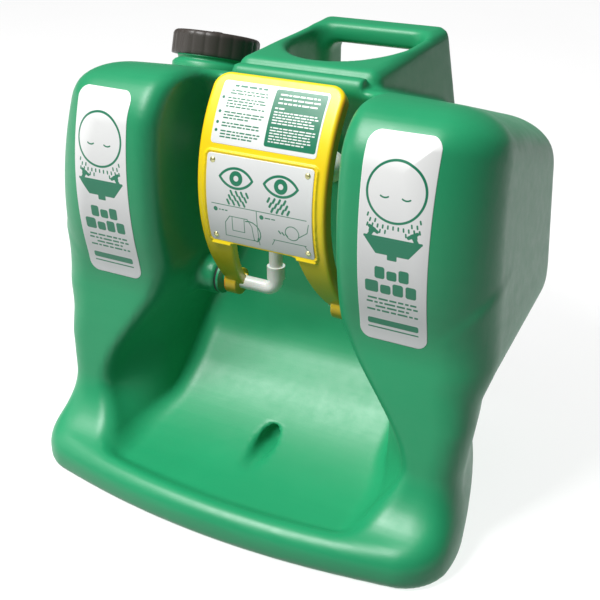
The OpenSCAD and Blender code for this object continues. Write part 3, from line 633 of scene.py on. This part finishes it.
def yellow_plastic(colour, edge, foot):
    """The arm's plastic, with painted shade: deeper at its turned side edges and darker down its lower legs."""
    made, net, shader = new_material("arm_yellow", Specular_IOR_Level=0.5)
    place = net.out(net.node("ShaderNodeTexCoord"), "Object")
    parts = net.node("ShaderNodeSeparateXYZ", None, {0: place})
    x, z = net.out(parts, 0), net.out(parts, 2)
    # painted shade: the side faces past 75.2 mm from the middle are mixed towards the deeper edge colour
    side = unit((ab(x) - 0.0752) / 0.0022)
    # painted shade: below 295 mm the arm darkens towards the olive foot colour
    low = unit((0.295 - z) / 0.09) * 0.95
    drift = noise(net, place, 14.0, 2.0)
    # the foot colour is laid on here as painted shade down the lower legs
    base = blend(net, low, blend(net, unit(drift * 0.35), colour, edge), foot)
    # the edge colour is laid on here as painted shade on the side faces; the slow drift above also mixes a little
    # of it in everywhere
    net.link(blend(net, side * 0.85, base, edge), shader, "Base Color")
    scuff = noise(net, place, 80.0, 4.0)
    net.link(0.36 + (scuff - 0.5) * 0.2, shader, "Roughness")
    raised(net, shader, noise(net, place, 700.0, 2.0), 0.1, 0.0004)
    return made


def printed(name, paper, shade, ink, low, high, roughness=0.32):
    """A white film with its print, a little greyer towards its foot."""
    made, net, shader = new_material(name, Coat_Roughness=0.15)
    place = net.out(net.node("ShaderNodeTexCoord"), "Object")
    z = net.out(net.node("ShaderNodeSeparateXYZ", None, {0: place}), 2)
    level = net.out(net.node("ShaderNodeAttribute", {"attribute_name": "ink"}), "Fac")
    mask = unit(0.5 - level * 2.5)
    fade = unit((high - z) / (high - low)) * 0.8 + noise(net, place, 25.0, 3.0) * 0.2
    ground = blend(net, fade, paper, shade)
    deep = tuple(c * 0.8 for c in ink[:3]) + (1,)
    tint = blend(net, noise(net, place, 60.0, 2.0) * 0.35, ink, deep)
    net.link(blend(net, mask, ground, tint), shader, "Base Color")
    wear = (noise(net, place, 90.0, 4.0) - 0.5) * 0.12
    net.link(roughness + wear + mask * 0.08, shader, "Roughness")
    net.link(0.35 - mask * 0.2, shader, "Coat Weight")
    raised(net, shader, mask + noise(net, place, 500.0, 2.0) * 0.3, 0.1, 0.0002)
    return made


def brushed(name, colour, dark, roughness=0.3, grain=(400, 8, 8)):
    """Metal with brushing lines and faint stains."""
    made, net, shader = new_material(name, Metallic=1.0)
    lines = noise(net, spot(net, grain), 1.0, 4.0)
    stain = noise(net, spot(net), 30.0, 4.0)
    net.link(blend(net, unit((stain - 0.4) * 1.3), colour, dark), shader, "Base Color")
    net.link(roughness + (lines - 0.5) * 0.25, shader, "Roughness")
    raised(net, shader, lines, 0.08, 0.0003)
    return made


def floor_finish():
    """A pale even floor with the faintest mottling."""
    made, net, shader = new_material("floor_pale", Specular_IOR_Level=0.2)
    share = noise(net, spot(net), 1.2, 2.0)
    net.link(blend(net, share, (0.90, 0.90, 0.90, 1), (0.93, 0.93, 0.93, 1)), shader, "Base Color")
    net.link(0.8 + share * 0.1, shader, "Roughness")
    return made


# ---- Sizes and colours a user would change ---------------------------------------------------

def colour_prop(name, text, colour):
    return FloatVectorProperty(name=name, description=text, subtype="COLOR", size=4, min=0, max=1,
                               default=linear(colour))


def length_prop(name, text, value):
    return FloatProperty(name=name, description=text, default=value * MM, unit="LENGTH",
                         subtype="DISTANCE", min=0.0)


class EyewashColours(bpy.types.PropertyGroup):
    """Colours of the finishes."""
    tank: colour_prop("Tank", "Moulded tank", (34, 150, 100))
    tank_shade: colour_prop("Tank shade", "Slow drift of the tank's colour", (26, 134, 88))
    arm: colour_prop("Arm", "Front of the activation arm", (250, 228, 18))
    # deeper orange painted shade for the arm's side faces, also the far end of its slow colour drift
    arm_edge_painted_shade_and_drift: colour_prop("Arm edge", "Turned edges of the arm", (214, 128, 30))
    # olive painted shade for the arm's lower legs
    arm_foot_painted_shade: colour_prop("Arm foot", "Lower legs of the arm", (176, 150, 20))
    paper: colour_prop("Film", "Ground of the printed films", (243, 244, 242))
    paper_shade: colour_prop("Film shade", "The same towards its foot", (205, 207, 208))
    ink: colour_prop("Ink", "Print on the films", (0, 118, 84))
    pipe: colour_prop("Pipework", "White pipework", (226, 230, 226))
    cap: colour_prop("Cap", "Filler cap and spigot", (62, 56, 52))


class EyewashSizes(bpy.types.PropertyGroup):
    """Sizes of the pieces."""
    half_width: length_prop("Half width", "Half the tank's width at the lobe faces", 270)
    rear: length_prop("Rear", "Distance of the back wall behind the origin", 225)
    lobe_radius: length_prop("Lobe radius", "Radius of the bulge of the lobe faces", 371)
    lip_reach: length_prop("Lip reach", "Distance of the basin's lip in front of the origin", 229)
    basin_floor: length_prop("Basin floor", "Height of the basin floor", 30)
    tank_voxel: length_prop("Tank cell", "Cell size of the tank's volume", 4.0)
    arm_half_width: length_prop("Arm half width", "Half the width of the arm", 78)
    arm_radius: length_prop("Arm radius", "Radius of the arm's curved front", 175)
    arm_thickness: length_prop("Arm thickness", "Thickness of the arm's moulding", 3.5)
    arm_flange: length_prop("Arm flange", "Depth of the arm's side flanges", 15)
    arm_voxel: length_prop("Arm cell", "Cell size of the arm's volume", 1.25)
    rivet_radius: length_prop("Rivet radius", "Radius of a rivet's head", 3.2)
    cap_radius: length_prop("Cap radius", "Outer radius of the filler cap", 53.6)
    neck_radius: length_prop("Neck radius", "Outer radius of the filler neck", 46)
    film: length_prop("Film thickness", "Thickness of the printed films", 0.4)


def sizes(): return bpy.context.scene.eyewash_sizes
def colours(): return bpy.context.scene.eyewash_colours
def colour(name): return tuple(getattr(colours(), name))
def size(name): return getattr(sizes(), name) / MM


def tank_sizes():
    return {"Half Width": size("half_width"), "Rear": size("rear"),
            "Lobe Radius": size("lobe_radius"), "Lip Reach": size("lip_reach"),
            "Floor Height": size("basin_floor")}


def settle(piece, body, slot, *replaced):
    """Rides a finished piece on its body and hides the parts it replaces; the slot it is given is not used."""
    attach(piece, body)
    if replaced:
        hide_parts(*replaced)


# ---- Places on the object --------------------------------------------------------------------

LOBE_CORNER, LOBE_STEP = 12, 0.6          # corner radius and grid of the lobe films
ARM_CORNER, ARM_STEP = 4, 0.5             # the same on the arm
PLATE_STEP, PLATE_THICK = 0.56, 1.5
GLUE = 0.05                               # gap under a film

def on_lobe(side):
    """Places a lobe film on the bulged face, found along Y on the tank's field."""
    lowest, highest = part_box("side_label_" + ("left" if side < 0 else "right"))
    middle = ((lowest + highest) / 2) / MM
    values = list(tank_sizes().values())

    def depth(x, z):
        near, far = np.full(x.shape, -200.0), np.full(x.shape, -60.0)
        for _ in range(22):
            half = (near + far) / 2
            inside = tank_field(x, half, z, *values) < 0
            near, far = np.where(inside, near, half), np.where(inside, half, far)
        return (near + far) / 2

    def place(u, v):
        x, z = middle.x + u, middle.z + v
        y = depth(x, z)
        slope_x = (depth(x + 1.0, z) - depth(x - 1.0, z)) / 2
        slope_z = (depth(x, z + 1.0) - depth(x, z - 1.0)) / 2
        normal = np.stack([slope_x, -np.ones_like(y), slope_z], -1)
        normal /= np.linalg.norm(normal, axis=-1, keepdims=True)
        return np.stack([x, y, z], -1) + normal * GLUE, normal
    return place


def on_arm(start, lift):
    """Places a film on the arm's curve; v runs up from the angle start, in radians."""
    def place(u, v):
        turn = start - v / ARM_R
        normal = np.stack([np.zeros_like(u), np.cos(turn), np.sin(turn)], -1)
        centre = np.stack([u, np.full_like(u, ARM_Y), np.full_like(u, ARM_Z)], -1)
        return centre + normal * (ARM_R + lift), normal
    return place


def arm_turn(z):
    """The angle on the arm's curve at height z."""
    return math.pi - math.asin((z - ARM_Z) / ARM_R)


NECK_AXIS = (0.292372, 0.956305)          # Y and Z of the filler neck's axis
THREAD_PITCH, THREAD_CREST, THREAD_TOP = 6.0, 1.3, 28.5


def on_neck():
    """Turns local neck places into the object's."""
    joint = JOINTS["cap_turn"]
    foot = np.array(joint["pos_m"]) / MM
    tilt = math.atan2(*NECK_AXIS)
    side = np.array([0, math.cos(tilt), -math.sin(tilt)])
    up = np.array([0, math.sin(tilt), math.cos(tilt)])

    def place(x, y, z):
        return (foot + x[..., None] * np.array([1.0, 0, 0]) + y[..., None] * side
                + z[..., None] * up)
    return place


# ---- Operators -------------------------------------------------------------------------------

class EYEWASH_OT_tank(bpy.types.Operator):
    """Make the moulded tank and its filler neck"""
    bl_idname = "eyewash.tank"
    bl_label = "Tank"

    def execute(self, context):
        green = moulded_plastic("tank_green", colour("tank"), colour("tank_shade"),
                                0.40, 0.14, 0.25, Specular_IOR_Level=0.45)
        tank = moulded("tank", tank_field, tank_sizes(), *TANK_ROOM, size("tank_voxel"), green)
        settle(tank, "tank", "tank_green", "tank_shell")
        radius = size("neck_radius")
        outer = [(radius + 5, -16), (radius + 5, -1), (radius + 2, 2.5), (radius - 1.4, 4)]
        outer += [(radius - 1.4, z) for z in np.arange(5, 29.5, 0.75)]
        outer += [(radius - 2, 30.4), (radius - 3, 31), (radius - 5, 30.4), (radius - 5.6, 29),
                  (radius - 6, -16)]

        def thread(turn, r, height):
            phase = (height / THREAD_PITCH - turn / (2 * math.pi)) % 1.0
            ridge = np.clip(1.6 - np.abs(phase - 0.5) * 5.2, 0, 1)
            ends = np.clip((height - 5) / 3, 0, 1) * np.clip((THREAD_TOP - height) / 3, 0, 1)
            return np.where(np.abs(r - radius + 1.4) < 0.01, ridge * THREAD_CREST * ends, 0)
        neck = turned("filler_neck", outer + [outer[0]], 144, on_neck(), green, thread)
        settle(neck, "tank", "tank_green")
        return {"FINISHED"}


class EYEWASH_OT_lobe_films(bpy.types.Operator):
    """Lay the printed films on the lobe faces"""
    bl_idname = "eyewash.lobe_films"
    bl_label = "Lobe Films"

    def execute(self, context):
        white = printed("lobe_print", colour("paper"), colour("paper_shade"), colour("ink"),
                        0.238, 0.45)
        for side, name in ((-1, "left"), (1, "right")):
            lowest, highest = (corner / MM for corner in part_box("side_label_" + name))
            piece = film("lobe_film_" + name, highest.x - lowest.x, highest.z - lowest.z,
                         LOBE_CORNER, LOBE_STEP, on_lobe(side), lobe_print, size("film"), white)
            settle(piece, "tank", "label_white", "side_label_" + name)
        return {"FINISHED"}


class EYEWASH_OT_arm(bpy.types.Operator):
    """Make the activation arm"""
    bl_idname = "eyewash.arm"
    bl_label = "Activation Arm"

    def execute(self, context):
        # the edge and foot colours are painted shade on the arm's side faces and lower legs
        yellow = yellow_plastic(colour("arm"), colour("arm_edge_painted_shade_and_drift"), colour("arm_foot_painted_shade"))
        lowest, highest = (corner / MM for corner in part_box("activation_arm"))
        arm = moulded("arm", arm_field,
                      {"Half Width": size("arm_half_width"), "Radius": size("arm_radius"),
                       "Thickness": size("arm_thickness"), "Flange": size("arm_flange")},
                      [v - 6 for v in lowest], [v + 6 for v in highest], size("arm_voxel"), yellow)
        settle(arm, "arm", "arm_yellow", "activation_arm")
        return {"FINISHED"}


class EYEWASH_OT_arm_prints(bpy.types.Operator):
    """Lay the arm's film and its instruction plate"""
    bl_idname = "eyewash.arm_prints"
    bl_label = "Arm Film and Plate"

    def execute(self, context):
        lowest, highest = (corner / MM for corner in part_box("arm_label"))
        top, foot = arm_turn(highest.z), arm_turn(lowest.z)
        white = printed("arm_print", colour("paper"), colour("paper_shade"), colour("ink"),
                        0.30, 0.44)
        sheet = film("arm_film", highest.x - lowest.x, (foot - top) * ARM_R, ARM_CORNER,
                     ARM_STEP, on_arm((foot + top) / 2, GLUE), arm_print, size("film"), white)
        settle(sheet, "arm", "label_white", "arm_label")
        lowest, highest = (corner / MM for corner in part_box("instruction_plate"))
        top, foot = arm_turn(highest.z), arm_turn(lowest.z)
        plate = film("plate", highest.x - lowest.x, (foot - top) * ARM_R, ARM_CORNER,
                     PLATE_STEP, on_arm((foot + top) / 2, GLUE), plate_print, PLATE_THICK, white)
        settle(plate, "arm", "label_white", "instruction_plate")
        return {"FINISHED"}


class EYEWASH_OT_rivets(bpy.types.Operator):
    """Set the plate's four rivets"""
    bl_idname = "eyewash.rivets"
    bl_label = "Plate Rivets"

    def execute(self, context):
        steel = brushed("rivet_steel", linear((205, 200, 150)), linear((150, 150, 90)), 0.35)
        lowest, highest = (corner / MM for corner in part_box("instruction_plate"))
        net, given = new_tree("rivets", [("Head Radius", "Float"), ("Head Height", "Float"),
                                         ("Shank Length", "Float"), ("Finish", "Material")])
        places = net.node("GeometryNodeInputPosition")
        dome = net.node("GeometryNodeMeshUVSphere", None, {"Segments": 32, "Rings": 16,
                                                           "Radius": given["Head Radius"]})
        flat = net.node("GeometryNodeTransform", None, {"Geometry": net.out(dome)})
        scale = net.node("ShaderNodeCombineXYZ", None, {
            "X": 1.0, "Y": 1.0, "Z": given["Head Height"] / given["Head Radius"]})
        net.link(net.out(scale), flat, "Scale")
        shank = net.node("GeometryNodeMeshCylinder", None, {
            "Vertices": 24, "Radius": given["Head Radius"] * 0.6, "Depth": given["Shank Length"]})
        back = net.node("ShaderNodeCombineXYZ", None, {"Z": given["Shank Length"] * -0.5})
        shank_at = net.node("GeometryNodeTransform", None, {"Geometry": net.out(shank),
                                                            "Translation": net.out(back)})
        rivet = net.node("GeometryNodeJoinGeometry")
        net.link(net.out(flat), rivet, 0)
        net.link(net.out(shank_at), rivet, 0)
        centre = net.node("ShaderNodeCombineXYZ", None,
                          {"X": 0.0, "Y": ARM_Y * MM, "Z": ARM_Z * MM})
        away = net.node("ShaderNodeVectorMath", {"operation": "SUBTRACT"},
                        {0: net.out(places), 1: net.out(centre)})
        flatten = net.node("ShaderNodeVectorMath", {"operation": "MULTIPLY"},
                           {0: net.out(away), 1: (0, 1, 1)})
        turn = net.node("FunctionNodeAlignRotationToVector", {"axis": "Z"},
                        {"Vector": net.out(flatten)})
        spread = net.node("GeometryNodeInstanceOnPoints", None, {
            "Points": given["Points"], "Instance": net.out(rivet),
            "Rotation": net.out(turn)})
        close_tree(net, net.out(spread), given["Finish"])
        points, edge, reach = [], 7, ARM_R + 1.6
        for x in (lowest.x + edge, highest.x - edge):
            for z in (lowest.z + edge, highest.z - edge):
                turn_at = arm_turn(z)
                points.append((x * MM, (ARM_Y + reach * math.cos(turn_at)) * MM,
                               (ARM_Z + reach * math.sin(turn_at)) * MM))
        piece = run_tree("rivets", net, {"Head Radius": sizes().rivet_radius,
                                         "Head Height": sizes().rivet_radius * 0.55,
                                         "Shank Length": 0.007, "Finish": steel}, points)
        settle(piece, "arm", "stainless", "plate_rivets")
        return {"FINISHED"}


class EYEWASH_OT_cap(bpy.types.Operator):
    """Make the ribbed filler cap"""
    bl_idname = "eyewash.cap"
    bl_label = "Filler Cap"

    def execute(self, context):
        grey = moulded_plastic("cap_grey", colour("cap"), linear((44, 40, 37)), 0.42, 0.2,
                               Specular_IOR_Level=0.45)
        radius, inner = size("cap_radius"), size("neck_radius") + 0.6
        foot, top, roof = 8.5, 37.5, 33.5
        profile = [(0.0, top), (14, top), (15, top - 1.2), (radius - 11, top - 1.2),
                   (radius - 10, top - 0.2), (radius - 6, top)]
        profile += [(radius - 6 + 6 * math.sin(a), top - 6 + 6 * math.cos(a))
                    for a in np.linspace(0.25, math.pi / 2, 7)]
        profile += [(radius, z) for z in np.linspace(top - 8, foot + 2, 8)]
        profile += [(radius - 0.5, foot + 0.6), (radius - 1.6, foot), (inner + 1, foot),
                    (inner, foot + 1), (inner, roof - 1), (inner - 1, roof), (0.0, roof)]

        ribs, groove = 20, 0.8

        def flutes(turn, r, height):
            wave = np.abs(np.sin(turn * ribs / 2))
            return np.where(r > radius - 3, -groove * (1 - wave) ** 1.5, 0.0)
        cap = turned("cap", profile, 240, on_neck(), grey, flutes)
        settle(cap, "cap", "cap_grey", "fill_cap")
        return {"FINISHED"}


class EYEWASH_OT_fittings(bpy.types.Operator):
    """Finish the pipework, seals, bracket and fixings"""
    bl_idname = "eyewash.fittings"
    bl_label = "Fittings"

    def execute(self, context):
        pipe = moulded_plastic("pipe_white", colour("pipe"), linear((206, 212, 206)), 0.3, 0.06,
                               Subsurface_Weight=0.15, Subsurface_Scale=0.004)
        steel = brushed("stainless", linear((196, 198, 200)), linear((150, 152, 154)))
        rubber = moulded_plastic("seal_rubber", linear((30, 30, 31)), linear((22, 22, 23)),
                                 0.75, 0.3)
        brass = brushed("insert_brass", linear((214, 178, 96)), linear((176, 136, 62)), 0.35)
        grey = moulded_plastic("fitting_grey", colour("cap"), linear((44, 40, 37)), 0.5, 0.2)
        green = moulded_plastic("fitting_green", colour("tank"), colour("tank_shade"), 0.42, 0.14)
        finishes = {"tank_green": green, "pipe_white": pipe, "stainless": steel,
                    "seal_rubber": rubber, "insert_brass": brass, "cap_grey": grey}
        wear = {part["node"]: part["material_slot"] for part in frame["record"]["subparts"]}
        for name, node in NODES.items():
            finish = finishes.get(wear.get(name, ""))
            if finish is None or node.hide_render:
                continue
            node.data.materials.clear()
            node.data.materials.append(finish)
        return {"FINISHED"}


def facing(back):
    """The rotation of a lamp or camera whose back points along the given vector."""
    return Vector(back).to_track_quat("Z", "Y").to_euler()


class EYEWASH_OT_stage(bpy.types.Operator):
    """Set the floor, the lights and the camera"""
    bl_idname = "eyewash.stage"
    bl_label = "Stage"

    def execute(self, context):
        wide, under = 30.0, -0.0005
        corners = [(-wide, -wide, under), (wide, -wide, under), (wide, wide, under),
                   (-wide, wide, under)]
        floor = mesh_object("floor", corners, [(0, 1, 2, 3)], floor_finish(), smooth=False)
        floor.visible_diffuse = False
        world = bpy.data.worlds.new("studio")
        world.use_nodes = True
        background = world.node_tree.nodes["Background"]
        background.inputs["Color"].default_value = (1, 1, 1, 1)
        background.inputs["Strength"].default_value = 0.16
        context.scene.world = world
        context.scene.view_settings.view_transform = "Standard"
        for name, place, aim, span, power in (
                ("key", (-0.5, -1.3, 2.0), (0, 0, 0.2), 0.7, 24),
                ("fill", (-1.9, -0.9, 0.8), (0, 0, 0.25), 1.2, 6)):
            light = bpy.data.lights.new(name, "AREA")
            light.size, light.energy = span, power
            lamp = bpy.data.objects.new(name, light)
            lamp.location = place
            aimed = np.array(place) - np.array(aim)
            lamp.rotation_euler = facing(aimed)
            context.scene.collection.objects.link(lamp)
        sky = bpy.data.lights.new("sky", "SUN")
        sky.energy, sky.angle = 3.1, math.radians(25)
        sky.use_shadow = False
        lamp = bpy.data.objects.new("sky", sky)
        lamp.rotation_euler = facing((-0.34, -0.30, 0.9))
        context.scene.collection.objects.link(lamp)
        lens = bpy.data.cameras.new("camera")
        lens.lens, lens.sensor_width = 60.0, 36.0
        lens.clip_start, lens.clip_end = 0.01, 100
        camera = bpy.data.objects.new("camera", lens)
        camera.location = (0.509, -0.936, 0.714)
        camera.rotation_euler = facing((0.4297, -0.7885, 0.4401))
        context.scene.collection.objects.link(camera)
        context.scene.camera = camera
        return {"FINISHED"}


OPERATORS = (EYEWASH_OT_tank, EYEWASH_OT_lobe_films, EYEWASH_OT_arm, EYEWASH_OT_arm_prints,
             EYEWASH_OT_rivets, EYEWASH_OT_cap, EYEWASH_OT_fittings, EYEWASH_OT_stage)


class EYEWASH_PT_panel(bpy.types.Panel):
    """Sizes, colours and steps of the eyewash station"""
    bl_idname = "EYEWASH_PT_panel"
    bl_label = "Eyewash Station"
    bl_space_type = "VIEW_3D"
    bl_region_type = "UI"
    bl_category = "Eyewash"

    def draw(self, context):
        for group in (context.scene.eyewash_sizes, context.scene.eyewash_colours):
            box = self.layout.box()
            for name in group.__annotations__:
                box.prop(group, name)
        for operator in OPERATORS:
            self.layout.operator(operator.bl_idname)


CLASSES = (EyewashColours, EyewashSizes, *OPERATORS, EYEWASH_PT_panel)


def register():
    for entry in CLASSES:
        bpy.utils.register_class(entry)
    bpy.types.Scene.eyewash_sizes = PointerProperty(type=EyewashSizes)
    bpy.types.Scene.eyewash_colours = PointerProperty(type=EyewashColours)


def unregister():
    del bpy.types.Scene.eyewash_colours
    del bpy.types.Scene.eyewash_sizes
    for entry in reversed(CLASSES):
        bpy.utils.unregister_class(entry)


def main():
    register()
    for operator in OPERATORS:
        group, name = operator.bl_idname.split(".")
        getattr(getattr(bpy.ops, group), name)()
    bpy.context.view_layer.update()


if __name__ == "__main__":
    main()
